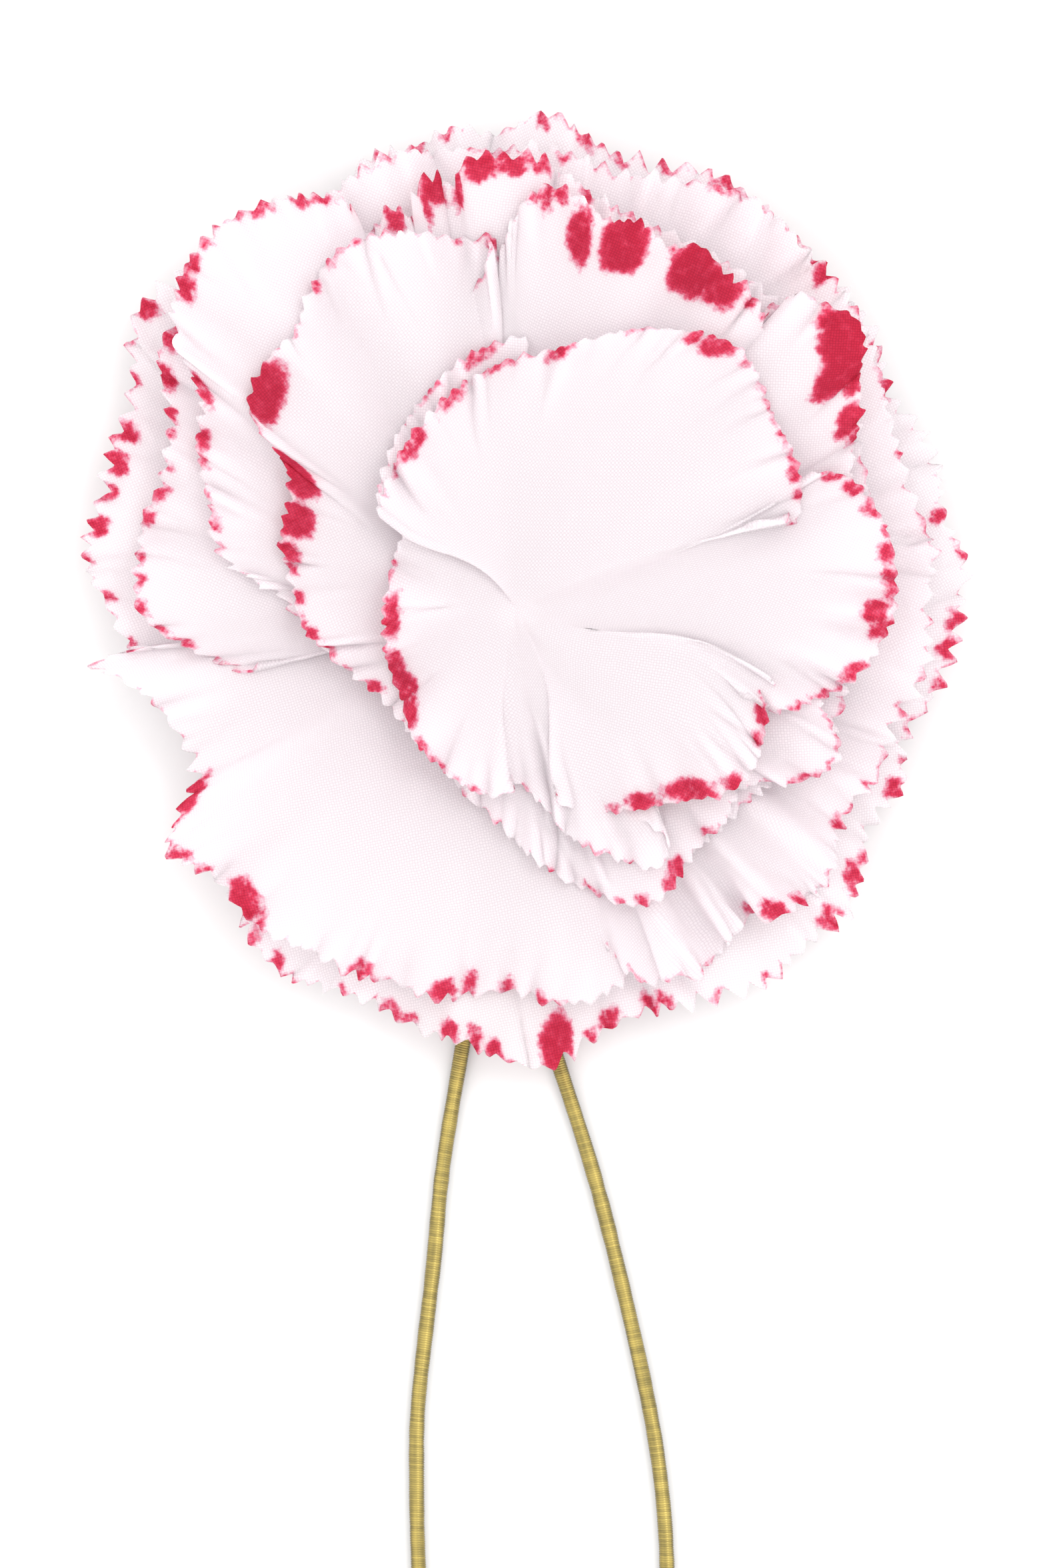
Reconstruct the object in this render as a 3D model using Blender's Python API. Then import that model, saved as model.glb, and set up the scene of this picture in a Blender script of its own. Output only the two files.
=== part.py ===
"""Fabric carnation boutonniere on two thread-wrapped wire legs, lying on its back. Metres, +Z up.

Five round pieces of cloth are stacked at the centre, each folded up into waves: four on one tack,
and the front one, which has no hole, over its head. The wires are held between the back disc and
a round backing pad, whose rear face is the plane z = 0.
"""

import bpy
import math
import numpy as np
from mathutils import Vector

MM = 0.001

CLOTH_THICKNESS = 0.6 * MM
DISC_HOLE_RADIUS = 0.8 * MM
UNPIERCED = "petal_disc_1"
FIRST_RING = 1.0 * MM
AROUND = 56
OUTWARD = 5

PAD_RADIUS = 15.0 * MM
PAD_THICKNESS = 1.2 * MM
PAD_BEVEL = 0.2 * MM
PAD_SIDES = 48

TACK_SHAFT_RADIUS = 0.5 * MM
TACK_HEAD_RADIUS = 1.3 * MM
TACK_BOTTOM = 1.3 * MM
TACK_HEAD_Z = 10.9 * MM
TACK_TOP = 11.7 * MM

WIRE_RADIUS = 0.35 * MM
WRAP_BORE_RADIUS = 0.41 * MM
WRAP_RADIUS = 0.65 * MM
WRAP_LENGTH_STEP = 4.5 * MM
WIRE_SHOWS = 0.5 * MM

# Each disc: its outline as (degrees, rim radius mm), its dish as (radius mm, height mm),
# then its own edge ruffle as (waves, height mm, phase).
DISCS = {
    "petal_disc_1": {
        "rim": ((0, 30.5), (14, 30), (30, 26), (48, 27.5), (64, 24.5), (84, 20.5), (104, 18.5),
                (130, 15), (155, 11.5), (180, 11), (205, 11.5), (232, 13), (260, 15), (284, 17),
                (302, 19), (322, 23), (342, 25)),
        "dish": ((0, 12.6), (3, 12.9), (6, 13.4), (10, 13.7), (15, 13.8), (22, 13.6), (31, 12.9)),
        "ruffle": (9, 0.6, 0.6),
        "tint": (0.93, 0.86, 0.90),
    },
    "petal_disc_2": {
        "rim": ((4, 29), (24, 30.5), (36, 35), (48, 33), (58, 32.5), (72, 33), (88, 31), (104, 31),
                (118, 32), (134, 28), (148, 23), (166, 20), (184, 17.5), (205, 14.5), (224, 13.5),
                (244, 14.5), (266, 18), (280, 22.5), (294, 26), (310, 24.5), (334, 28), (348, 27)),
        "dish": ((0, 8.9), (3, 9.4), (6, 10.1), (10, 10.8), (15, 11.2), (22, 11.4), (36, 11.1)),
        "ruffle": (12, 0.5, 1.9),
        "tint": (0.94, 0.85, 0.89),
    },
    "petal_disc_3": {
        "rim": ((0, 32), (20, 33.5), (38, 37), (55, 36.5), (76, 34.5), (96, 35.5), (112, 34),
                (128, 38), (142, 35.5), (160, 27), (176, 23), (192, 19.5), (212, 17), (232, 16.5),
                (256, 17.5), (276, 20), (292, 23.5), (308, 24.5), (324, 25), (342, 27.5)),
        "dish": ((0, 6.3), (4, 6.8), (8, 7.6), (14, 8.6), (20, 9.1), (28, 9.3), (39, 9)),
        "ruffle": (11, 0.5, 3.1),
        "tint": (0.93, 0.86, 0.91),
    },
    "petal_disc_4": {
        "rim": ((2, 35.5), (24, 34), (40, 37.5), (58, 35.5), (78, 38), (98, 38), (116, 39),
                (134, 36), (152, 34.5), (174, 31), (190, 27), (206, 29.5), (224, 32.5),
                (244, 31), (262, 31.5), (282, 32), (300, 32.5), (320, 32), (340, 34)),
        "dish": ((0, 4.8), (5, 5.2), (12, 6.2), (20, 6.9), (28, 7.2), (40, 7)),
        "ruffle": (13, 0.6, 0.2),
        "tint": (0.92, 0.85, 0.90),
    },
    "petal_disc_5": {
        "rim": ((6, 36), (22, 33), (44, 37.5), (66, 37), (86, 40), (104, 38), (124, 36.5),
                (142, 37), (160, 35), (174, 35), (188, 34), (206, 29), (222, 31), (238, 34),
                (256, 33.5), (274, 36.5), (290, 34.5), (306, 35.5), (322, 35), (344, 34.5)),
        "dish": ((0, 3.4), (6, 3.7), (14, 4.5), (24, 5), (32, 5.2), (41, 5)),
        "ruffle": (10, 0.7, 2.4),
        "tint": (0.91, 0.84, 0.89),
    },
}

# Wire centre lines as (x, y, z) in mm, from the end under the flower to the free end.
LEGS = {
    "left": ((-1.3, -4, 1.95), (-1.6, -10, 1.95), (-2.0, -17, 1.95), (-2.45, -23.5, 1.1),
             (-3.4, -30, 0.65), (-4.5, -36.2, 0.65), (-6.0, -45.5, 0.65), (-6.8, -53.7, 0.65),
             (-8.0, -64.6, 0.65), (-8.15, -71.1, 0.65), (-8.0, -78.0, 0.65), (-7.6, -85, 0.65),
             (-6.8, -94, 0.65), (-5.6, -104, 0.65)),
    "right": ((0.25, -4, 1.95), (-0.05, -10, 1.95), (-0.45, -17, 1.95), (-0.9, -23.5, 1.1),
              (1.15, -30, 0.65), (3.3, -36.6, 0.65), (6.15, -45.5, 0.65), (8.3, -53.7, 0.65),
              (10.6, -63.8, 0.65), (11.8, -71.1, 0.65), (12.3, -78.0, 0.65), (12.2, -85, 0.65),
              (11.6, -94, 0.65), (10.5, -104, 0.65)),
}


def clear_scene():
    for thing in list(bpy.data.objects):
        bpy.data.objects.remove(thing, do_unlink=True)


def material(name, colour, roughness, metallic=0.0):
    made = bpy.data.materials.new(name)
    made.use_nodes = True
    shader = made.node_tree.nodes["Principled BSDF"]
    shader.inputs["Base Color"].default_value = (*colour, 1.0)
    shader.inputs["Roughness"].default_value = roughness
    shader.inputs["Metallic"].default_value = metallic
    made.diffuse_color = (*colour, 1.0)
    return made


def add_mesh(name, points, faces, made_of, smooth=True):
    mesh = bpy.data.meshes.new(name)
    mesh.from_pydata([tuple(p) for p in points], [], faces)
    mesh.validate()
    mesh.materials.append(made_of)
    for polygon in mesh.polygons:
        polygon.use_smooth = smooth
    thing = bpy.data.objects.new(name, mesh)
    bpy.context.scene.collection.objects.link(thing)
    return thing


def hermite(x0, y0, m0, x1, y1, m1, x):
    """Smooth step between two points with given slopes."""
    h = x1 - x0
    t = (x - x0) / h
    a = (1 + 2 * t) * (1 - t) ** 2
    b = t * (1 - t) ** 2
    c = t * t * (3 - 2 * t)
    d = t * t * (t - 1)
    return a * y0 + b * h * m0 + c * y1 + d * h * m1


def slope_at(left, middle, right):
    """Slope at the middle point that never overshoots its neighbours."""
    a = (middle[1] - left[1]) / (middle[0] - left[0])
    b = (right[1] - middle[1]) / (right[0] - middle[0])
    if a * b <= 0:
        return 0.0
    return 2 * a * b / (a + b)


def along(table, x):
    """Smooth value of a table of (x, y), held level beyond its ends."""
    if x <= table[0][0]:
        return table[0][1]
    if x >= table[-1][0]:
        return table[-1][1]
    slopes = [0.0]
    for k in range(1, len(table) - 1):
        slopes.append(slope_at(table[k - 1], table[k], table[k + 1]))
    slopes.append(0.0)
    for k in range(len(table) - 1):
        if x <= table[k + 1][0]:
            return hermite(*table[k], slopes[k], *table[k + 1], slopes[k + 1], x)
    return table[-1][1]


def around(table, degrees):
    """Smooth value of a table of (degrees, y) that closes on itself."""
    before = [(a - 360, v) for a, v in table[-3:]]
    after = [(a + 360, v) for a, v in table[:3]]
    return along(before + list(table) + after, degrees % 360)


def shared_wave(radius_mm, angle):
    """The broad waves that run through every layer."""
    grown = min(1.0, radius_mm / 32) ** 1.6
    return grown * (1.1 * math.sin(5 * angle + 0.5) + 0.6 * math.sin(8 * angle + 2.1))


def disc_height(spec, radius_mm, rim_mm, angle):
    waves, lift, phase = spec["ruffle"]
    ruffle = lift * (radius_mm / rim_mm) ** 3 * math.sin(waves * angle + phase)
    return along(spec["dish"], radius_mm) + shared_wave(radius_mm, angle) + ruffle


def petal_disc(name, spec, made_of):
    """One ruffled disc: a top skin, a bottom skin, the rim and the wall of the centre hole, if any."""
    hole = FIRST_RING / MM if name == UNPIERCED else DISC_HOLE_RADIUS / MM
    skins = []
    for side in (0.0, -CLOTH_THICKNESS):
        for i in range(AROUND):
            angle = math.tau * i / AROUND
            rim = around(spec["rim"], math.degrees(angle))
            for j in range(OUTWARD + 1):
                radius = hole + (rim - hole) * (j / OUTWARD) ** 1.15
                height = disc_height(spec, radius, rim, angle) * MM + side
                skins.append((radius * MM * math.cos(angle), radius * MM * math.sin(angle), height))
    row = OUTWARD + 1
    under = AROUND * row
    faces = []
    for i in range(AROUND):
        k = (i + 1) % AROUND
        for j in range(OUTWARD):
            a, b, c, d = i * row + j, i * row + j + 1, k * row + j + 1, k * row + j
            faces.append((a, b, c, d))
            faces.append((d + under, c + under, b + under, a + under))
        rim_a, rim_b = i * row + OUTWARD, k * row + OUTWARD
        faces.append((rim_a, rim_a + under, rim_b + under, rim_b))
        if name == UNPIERCED:
            faces.append((k * row, 2 * under, i * row))
            faces.append((i * row + under, 2 * under + 1, k * row + under))
        else:
            faces.append((k * row, k * row + under, i * row + under, i * row))
    if name == UNPIERCED:
        middle = spec["dish"][0][1] * MM
        skins += [(0, 0, middle), (0, 0, middle - CLOTH_THICKNESS)]
    return add_mesh(name, skins, faces, made_of)


def turned(name, profile, sides, made_of, smooth):
    """A solid turned about Z from (radius, height) points, whose first and last lie on the axis."""
    points = [(0, 0, profile[0][1])]
    for radius, height in profile[1:-1]:
        for i in range(sides):
            angle = math.tau * i / sides
            points.append((radius * math.cos(angle), radius * math.sin(angle), height))
    points.append((0, 0, profile[-1][1]))
    rings = len(profile) - 2
    faces = []
    for i in range(sides):
        k = (i + 1) % sides
        faces.append((0, 1 + k, 1 + i))
        for j in range(rings - 1):
            low, high = 1 + j * sides, 1 + (j + 1) * sides
            faces.append((low + i, low + k, high + k, high + i))
        last = 1 + (rings - 1) * sides
        faces.append((last + i, last + k, len(points) - 1))
    return add_mesh(name, points, faces, made_of, smooth)


def back_pad(made_of):
    r, t, b = PAD_RADIUS, PAD_THICKNESS, PAD_BEVEL
    profile = ((0, 0), (r - b, 0), (r, b), (r, t - b), (r - b, t), (0, t))
    return turned("back_pad", profile, PAD_SIDES, made_of, False)


def centre_tack(made_of):
    shaft, head = TACK_SHAFT_RADIUS, TACK_HEAD_RADIUS
    profile = ((0, TACK_BOTTOM), (shaft, TACK_BOTTOM), (shaft, TACK_HEAD_Z), (head, TACK_HEAD_Z + 0.15 * MM),
               (head * 0.8, TACK_TOP - 0.15 * MM), (0, TACK_TOP))
    return turned("centre_tack", profile, 16, made_of, True)


def spaced_path(points, step):
    """Points at even steps on a smooth curve through the given ones."""
    knots = [Vector(p) * MM for p in points]
    knots = [2 * knots[0] - knots[1]] + knots + [2 * knots[-1] - knots[-2]]
    fine = []
    for k in range(1, len(knots) - 2):
        p0, p1, p2, p3 = knots[k - 1:k + 3]
        for s in range(24):
            t = s / 24
            fine.append(0.5 * (2 * p1 + (p2 - p0) * t + (2 * p0 - 5 * p1 + 4 * p2 - p3) * t * t
                               + (3 * p1 - p0 - 3 * p2 + p3) * t ** 3))
    fine.append(knots[-2])
    lengths = np.cumsum([0.0] + [(b - a).length for a, b in zip(fine, fine[1:])])
    count = max(2, round(lengths[-1] / step))
    even = []
    for s in np.linspace(0, lengths[-1], count + 1):
        k = min(int(np.searchsorted(lengths, s, side="right")) - 1, len(fine) - 2)
        share = (s - lengths[k]) / (lengths[k + 1] - lengths[k])
        even.append(fine[k].lerp(fine[k + 1], float(share)))
    return even


def rings_along(path, radius, sides):
    rings = []
    for k, point in enumerate(path):
        ahead = (path[min(k + 1, len(path) - 1)] - path[max(k - 1, 0)]).normalized()
        side = ahead.cross(Vector((0, 0, 1))).normalized()
        up = side.cross(ahead).normalized()
        for i in range(sides):
            angle = math.tau * i / sides - math.pi / 2
            rings.append(point + radius * (math.cos(angle) * side + math.sin(angle) * up))
    return rings


def wire(name, path, made_of):
    """A solid round rod along the path."""
    sides = 8
    points = rings_along(path, WIRE_RADIUS, sides)
    faces = [tuple(range(sides))]
    for k in range(len(path) - 1):
        for i in range(sides):
            n = (i + 1) % sides
            faces.append((k * sides + i, (k + 1) * sides + i, (k + 1) * sides + n, k * sides + n))
    last = (len(path) - 1) * sides
    faces.append(tuple(last + i for i in reversed(range(sides))))
    return add_mesh(name, points, faces, made_of)


def wrap(name, path, made_of):
    """A sleeve of wound thread along the path, open at both ends."""
    sides = 10
    outer = rings_along(path, WRAP_RADIUS, sides)
    inner = rings_along(path, WRAP_BORE_RADIUS, sides)
    points = outer + inner
    inside = len(outer)
    faces = []
    for k in range(len(path) - 1):
        for i in range(sides):
            n = (i + 1) % sides
            a, b, c, d = k * sides + i, (k + 1) * sides + i, (k + 1) * sides + n, k * sides + n
            faces.append((a, b, c, d))
            faces.append((d + inside, c + inside, b + inside, a + inside))
    last = (len(path) - 1) * sides
    for i in range(sides):
        n = (i + 1) % sides
        faces.append((i, n, n + inside, i + inside))
        faces.append((last + i, last + i + inside, last + n + inside, last + n))
    return add_mesh(name, points, faces, made_of)


def leg(side, steel, thread):
    """One wire leg: the steel core, and the thread wound on it."""
    path = spaced_path(LEGS[side], WRAP_LENGTH_STEP)
    wrap("stem_wrap_" + side, path, thread)
    core = list(path)
    core[0] = path[0] + WIRE_SHOWS * (path[0] - path[1]).normalized()
    core[-1] = path[-1] + WIRE_SHOWS * (path[-1] - path[-2]).normalized()
    wire("stem_core_" + side, core, steel)


def build():
    clear_scene()
    for name, spec in DISCS.items():
        petal_disc(name, spec, material(name + "_cloth", spec["tint"], 0.85))
    back_pad(material("pad_felt", (0.88, 0.84, 0.84), 0.95))
    centre_tack(material("tack_thread", (0.90, 0.86, 0.84), 0.8))
    steel = material("wire_steel", (0.55, 0.55, 0.56), 0.35, 1.0)
    thread = material("wrap_thread", (0.55, 0.40, 0.10), 0.5)
    for side in LEGS:
        leg(side, steel, thread)


build()
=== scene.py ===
"""Fabric carnation boutonniere: five pinked discs of white cloth with crimson-dyed edges, folded
into lobes on one tack, over a backing pad, with two wire legs wound with gold thread.

The flower lies on its back on a pale floor and the camera looks straight down on it.
"""

import math

import bpy
import numpy as np
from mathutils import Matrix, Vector
from mathutils.bvhtree import BVHTree


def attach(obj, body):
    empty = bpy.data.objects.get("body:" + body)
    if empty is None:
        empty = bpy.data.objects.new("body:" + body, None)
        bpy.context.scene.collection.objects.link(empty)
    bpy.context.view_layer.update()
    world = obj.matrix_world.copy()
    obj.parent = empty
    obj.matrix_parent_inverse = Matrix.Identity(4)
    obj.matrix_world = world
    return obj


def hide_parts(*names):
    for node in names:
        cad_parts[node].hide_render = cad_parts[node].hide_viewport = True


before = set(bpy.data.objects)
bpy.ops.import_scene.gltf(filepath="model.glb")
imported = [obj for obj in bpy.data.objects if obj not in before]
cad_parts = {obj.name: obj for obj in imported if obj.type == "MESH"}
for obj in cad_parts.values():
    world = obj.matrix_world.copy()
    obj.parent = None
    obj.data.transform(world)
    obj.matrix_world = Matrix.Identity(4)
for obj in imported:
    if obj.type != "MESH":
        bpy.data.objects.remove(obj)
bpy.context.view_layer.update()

MM = 0.001

# The cloth, in mm, and how finely a disc is cut: samples round its rim and rings out to it.
AROUND = 960
OUTWARD = 44
RIM_RINGS = 15
TOOTH_RINGS = 9
CLOTH = 0.20
LAYER_GAP = 0.35
THREAD_PITCH = 0.22
HOLE_RADIUS = 0.62
PIT_RADIUS = 0.1

# The rims' heights are given for an unpressed flower. Above the rear disc's own height they
# are pressed down to this share.
REAR_HEIGHT = 3.4
FLATTENED = 0.58
# Near the centre the folds open out over this length of rim, in mm.
OPENING = 9.0

# The winding on the legs, in mm.
TURN_PITCH = 0.19
THREAD_BED = 0.565
THREAD_RISE = 0.065
THREAD_LIMIT = 0.65
CORE_RADIUS = 0.39

CAMERA_HEIGHT = 0.711
CAMERA_AIM = (0.0005, -0.0142)
LENS = 199.7

# Each disc, from the rear one: "base" is its height at the centre and "flat" its width before
# folding, in mm; "teeth" their (pitch, height as a share of it); "fade" how fast the folds die
# away inwards; "puff" how far the cloth swells; "grain" the thread's direction in degrees.
# "rim" is its edge, anticlockwise from a hidden fold, as (degrees, radius mm, height mm)
# and, where a fold runs askew to the centre, the degrees it turns on the way in.
# "way" is how a radius leaves the centre: (along it, share of the radius, share of the height).
# "dye" is the crimson patches: (degrees, radius mm) of the nearest place on the rim, then the
# width along it, the depth and, where the patch stands back from the rim, by how much, in mm.
DISCS = [
    {
        "name": "petal_disc_5", "seed": 15, "grain": 63,
        "fade": 1.0, "teeth": (1.6, 0.85), "base": 3.3, "flat": 74, "puff": 0.6,
        "way": [(0, 0, 0), (0.2, 0.17, 0.22), (0.4, 0.38, 0.5), (0.6, 0.58, 0.76),
                (0.8, 0.79, 0.93), (1, 1, 1)],
        "rim": [
            (2, 36.4, 6), (6, 36.8, 6.5), (12, 35.6, 6), (19, 36.2, 6.5), (25, 36, 6),
            (30, 35.2, 5.5), (37, 36.6, 6.5), (45, 37.2, 7), (53, 37.8, 7.5), (60, 38.6, 7.5),
            (66, 38.8, 7), (72, 38, 6.5), (78, 38, 6.5), (83, 39.2, 7), (87, 40.4, 7.5),
            (92, 38.8, 7), (97, 39.4, 6.5), (103, 38.4, 6), (108, 38.8, 6.5), (114, 36.6, 6),
            (121, 37.2, 6), (129, 38, 6.5), (136, 38.6, 7), (142, 39.3, 7), (147, 37.4, 6.5),
            (152, 35.7, 6), (158, 35.5, 6), (165, 35, 6.5), (171, 35.5, 6.5), (176, 34.8, 6),
            (180, 33, 5.5), (183, 32.4, 5.2), (186, 31.4, 5.2), (191, 29, 5.2), (197, 27.8, 5),
            (203, 27.4, 4.5), (209, 28.2, 4.5), (216, 31, 5), (224, 32.5, 5), (232, 34.6, 5.5),
            (238, 35.3, 6), (244, 34.4, 5.5), (250, 34.2, 5.5), (256, 35.2, 5.5), (262, 35.3, 5.5),
            (268, 36.6, 6), (274, 37.4, 6.5), (279, 35.9, 6), (286, 34.4, 5.5), (292, 34.8, 6),
            (298, 35.8, 6.5), (304, 36.7, 6.5), (311, 36.2, 6), (318, 36.4, 6.5), (324, 35, 6),
            (329, 33.8, 5.5), (335, 34.7, 6), (341, 33.4, 5.5), (347, 34.4, 6), (354, 35.8, 6.5)],
        "dye": [
            (86.8, 41, 1.2, 1.4), (81.5, 39, 1.5, 1.2), (76.5, 38, 1.1, 0.9), (71, 38, 2.2, 0.6),
            (64, 38.6, 1.8, 0.9), (59, 38.6, 1.2, 0.6), (53.2, 38, 1.6, 2.4), (47.5, 38, 2.8, 3.6),
            (36.3, 37.2, 0.9, 0.9), (31, 35.6, 1.6, 1.2), (12.3, 36, 1.3, 1.4), (7, 36.6, 1, 0.7),
            (358.3, 36.6, 1.7, 1.2), (354.5, 36, 1.7, 1.6), (350.5, 34.6, 1, 0.9),
            (343.5, 33.8, 1.6, 0.5), (334.8, 35, 1.9, 1.5), (339, 34, 0.8, 0.6),
            (321.2, 35.4, 2.4, 1.6), (324.5, 35, 0.9, 0.8), (315.4, 36.4, 1.9, 1.6),
            (304, 36.7, 0.9, 0.8), (297.5, 35.6, 0.8, 0.7), (291.2, 34.8, 1.3, 1.4),
            (288.6, 34.6, 1, 1.6), (282.7, 35.2, 1.8, 1.6), (279.8, 35.8, 1, 1),
            (275, 36.6, 3, 4.2), (267, 36.4, 1.4, 1.5), (264.2, 36, 1.3, 1.9),
            (261, 35.4, 1.5, 1.7), (255.6, 35.2, 1.2, 1.2), (252.5, 34.8, 1.9, 1.1),
            (245.6, 34.4, 0.8, 0.7), (235.6, 35.6, 1.3, 1.3), (231.5, 34.6, 1, 1.3),
            (185, 32, 0.9, 0.7), (178.6, 34, 1.1, 1), (173.6, 35.6, 1, 0.7),
            (168.5, 35.2, 1.8, 1.7), (164.2, 35.4, 1.6, 1.2), (160, 35.9, 1.8, 1.9),
            (155.8, 35.8, 1.6, 1.9), (149, 36.8, 0.8, 0.9), (141, 39.6, 1.6, 1.7),
            (106.5, 38.6, 1.1, 0.8), (102.5, 38.4, 1, 0.9), (98, 39, 1.1, 0.7)],
    },
    {
        "name": "petal_disc_4", "seed": 24, "grain": 20,
        "fade": 1.2, "teeth": (1.5, 0.8), "base": 4.6, "flat": 70, "puff": 0.9,
        "way": [(0, 0, 0), (0.2, 0.16, 0.3), (0.4, 0.36, 0.66), (0.6, 0.57, 0.9), (0.8, 0.78, 1.0),
                (1, 1, 1)],
        "rim": [
            (0, 33.4, 10.5), (8, 34.3, 11), (15, 33.4, 10.5), (22, 33.6, 11), (30, 34.6, 12),
            (38, 36, 12), (45, 37, 12.3), (50, 37.2, 12.6), (56, 38, 12.3), (63, 38, 12),
            (70, 37, 11.5), (78, 36.4, 11.5), (86, 37.4, 11.8), (94, 37.2, 11.6), (102, 38, 12),
            (109, 37.6, 12), (116, 36.4, 11.6), (124, 36.8, 12), (132, 37, 12), (139, 36.4, 12),
            (144, 35.6, 12), (147, 34.5, 11.8), (150, 32.6, 11.6), (154, 31, 11.4),
            (158, 30.7, 11.4), (162, 30.6, 11.4), (167, 31.4, 11.4), (172, 31.2, 11.2),
            (177, 31, 11), (181, 30.4, 10.4), (185.5, 27.4, 10), (188.6, 25.3, 9.7),
            (192, 23.2, 9.5), (194, 22, 9.4), (193, 22.6, 9.3), (189.5, 25, 9.2), (186.5, 29, 9.1),
            (186, 32.6, 9), (187.6, 34.8, 9.2), (189.6, 33, 9.2), (192, 31.2, 9), (197, 29.8, 9),
            (203, 29.2, 9), (208, 29.6, 9.2), (211.5, 32, 9.6), (215, 34.6, 9.6), (219, 33.6, 9.4),
            (223, 32.8, 9.4), (228, 33.2, 9.8), (233, 33.2, 9.8), (239, 32.4, 9.4),
            (245, 32.5, 9.6), (251, 32, 9.4), (257, 32.4, 9.6), (263, 31.8, 9.4), (269, 31.2, 9.2),
            (275, 32, 9.2), (281, 32.2, 9), (286, 31.4, 8.8), (289.5, 29, 8.8), (289, 25, 9),
            (285, 21, 9.8), (281.5, 18.8, 10.8), (280.4, 19.6, 11.2), (281.3, 23.4, 11),
            (282.5, 26, 10.8), (285, 28.6, 10.6), (287.2, 31, 10.4), (289.5, 32.4, 9.6),
            (292, 32, 8.4), (295.5, 33, 10.4), (299, 32.8, 8.2), (303, 32, 10), (307, 31.6, 8),
            (311, 33, 10.4), (315, 33.4, 8.6), (320, 33.4, 10.6), (325, 31.8, 8.6),
            (330, 31.6, 10.4), (335, 32.4, 8.8), (341, 32.2, 10.4), (346, 32.8, 10),
            (353, 33.6, 10.6)],
        "dye": [
            (147, 34.8, 2.4, 1.7), (142.7, 36.2, 1.2, 1.6), (140.6, 37.2, 1.5, 1.6),
            (150.4, 32.4, 1.2, 1), (153.2, 31.2, 0.9, 0.7), (157.5, 30.8, 0.9, 0.8),
            (162, 30.8, 1.2, 1.1), (166, 31.6, 1.2, 1.2), (172.8, 31.3, 1, 0.7),
            (175.6, 31.2, 1.1, 1), (179.5, 30.4, 1.3, 0.9), (182.4, 29, 1, 0.9),
            (185.4, 27.4, 1.5, 1.1), (189.5, 24.8, 0.9, 0.5), (192.5, 22.9, 0.9, 0.5),
            (210, 31, 3.6, 1.9), (216, 34.6, 1.6, 1.3), (219.5, 33.6, 0.9, 0.9),
            (226.8, 33, 3.8, 2.1), (231, 33.4, 0.9, 0.8), (246.4, 32.6, 1.6, 1.3),
            (259.3, 32.4, 2, 1.8), (262.8, 31.9, 1, 2.3), (268.6, 31.3, 1.3, 1.2),
            (274, 31.8, 0.8, 0.9), (281.2, 22.6, 1.1, 0.5), (282.4, 25.8, 0.9, 0.5),
            (285.4, 29, 0.8, 0.5), (287.6, 31.6, 1, 0.8), (297, 33, 0.9, 0.7),
            (310.2, 33.2, 2, 1.9), (307.6, 31.8, 1, 1.2), (314, 33.4, 1.2, 1.3),
            (326.6, 32, 1.4, 1.1), (333, 32.2, 0.8, 0.8), (345, 32.8, 0.9, 0.7),
            (47.6, 37, 1.4, 1.6), (63.5, 38, 1.4, 0.6), (84, 37.2, 1, 0.9), (106, 37.8, 0.9, 0.7)],
    },
    {
        "name": "petal_disc_3", "seed": 33, "grain": 48,
        "fade": 1.3, "teeth": (1.4, 0.75), "base": 6.2, "flat": 62, "puff": 0.7,
        "way": [(0, 0, 0), (0.18, 0.1, 0.28), (0.36, 0.27, 0.6), (0.54, 0.47, 0.85),
                (0.75, 0.71, 0.98), (1, 1, 1)],
        "rim": [
            (230, 12.4, 10), (243, 13, 10), (254, 14.6, 10), (265, 16.6, 10.2), (275, 19.8, 10.6),
            (285, 22, 11), (294, 24, 11.4), (303, 24.4, 11.8), (312, 24.2, 12.2), (322, 24.6, 12.6),
            (332, 26.4, 13.2), (341, 27.4, 13.2), (350, 27.8, 13.4), (0, 28.5, 13.5),
            (12, 29.4, 14), (24, 30.6, 14.4), (36, 32.4, 15), (50, 32.6, 15.4), (64, 32.6, 15.8),
            (75, 33.2, 16), (81, 34.4, 16.2), (86, 36.2, 16.6), (91, 36.4, 16.8), (96, 36.2, 16.7),
            (98.5, 34.4, 16.4), (100, 35.6, 16.8), (103, 35.2, 16.8), (105, 32.4, 16.2),
            (107, 33.8, 16.6), (110, 33, 16.2), (112, 32.6, 15.6), (113, 35.8, 16.2),
            (117, 37.3, 16.8), (122, 38.5, 17), (128, 38.9, 17), (133, 38.6, 16.8),
            (137, 37.8, 16.4), (141, 35.4, 16.2), (144, 32.4, 16), (147, 30.2, 16), (152, 29.2, 16),
            (157, 27.6, 15.8), (162, 26, 15.6), (167, 25.2, 14.4), (171, 23.8, 14),
            (175, 21.4, 13.4), (179, 18.6, 12.6), (185, 16.6, 11.8), (193, 15, 11),
            (203, 13.4, 10.4), (216, 12.6, 10)],
        "dye": [
            (98, 35, 1.6, 2.6), (94.6, 36.3, 2.6, 2.2), (90.6, 36.4, 2.8, 1.8), (87, 36.3, 2, 1.2),
            (101, 35.6, 2.9, 2.6), (102.6, 35.2, 1, 3.6), (107.4, 33.9, 1.5, 2.1),
            (104.6, 32.6, 0.8, 0.8), (118.2, 37.4, 1.3, 1.1), (115.6, 36.8, 1.5, 0.8),
            (122.6, 38.6, 1.7, 1), (125.4, 38.8, 0.9, 0.7), (130.5, 38.9, 0.9, 1),
            (133.3, 38.6, 1.5, 1.3), (136, 38, 2.2, 1.9), (145.2, 31.6, 2.6, 1.5),
            (151.8, 29.3, 1.9, 1.2), (154.6, 28.4, 1, 0.9), (159.8, 26.8, 0.6, 0.5),
            (164.4, 25.8, 1.2, 1), (168.8, 24.8, 1, 0.6), (80.5, 34.2, 1.2, 1.1),
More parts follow.
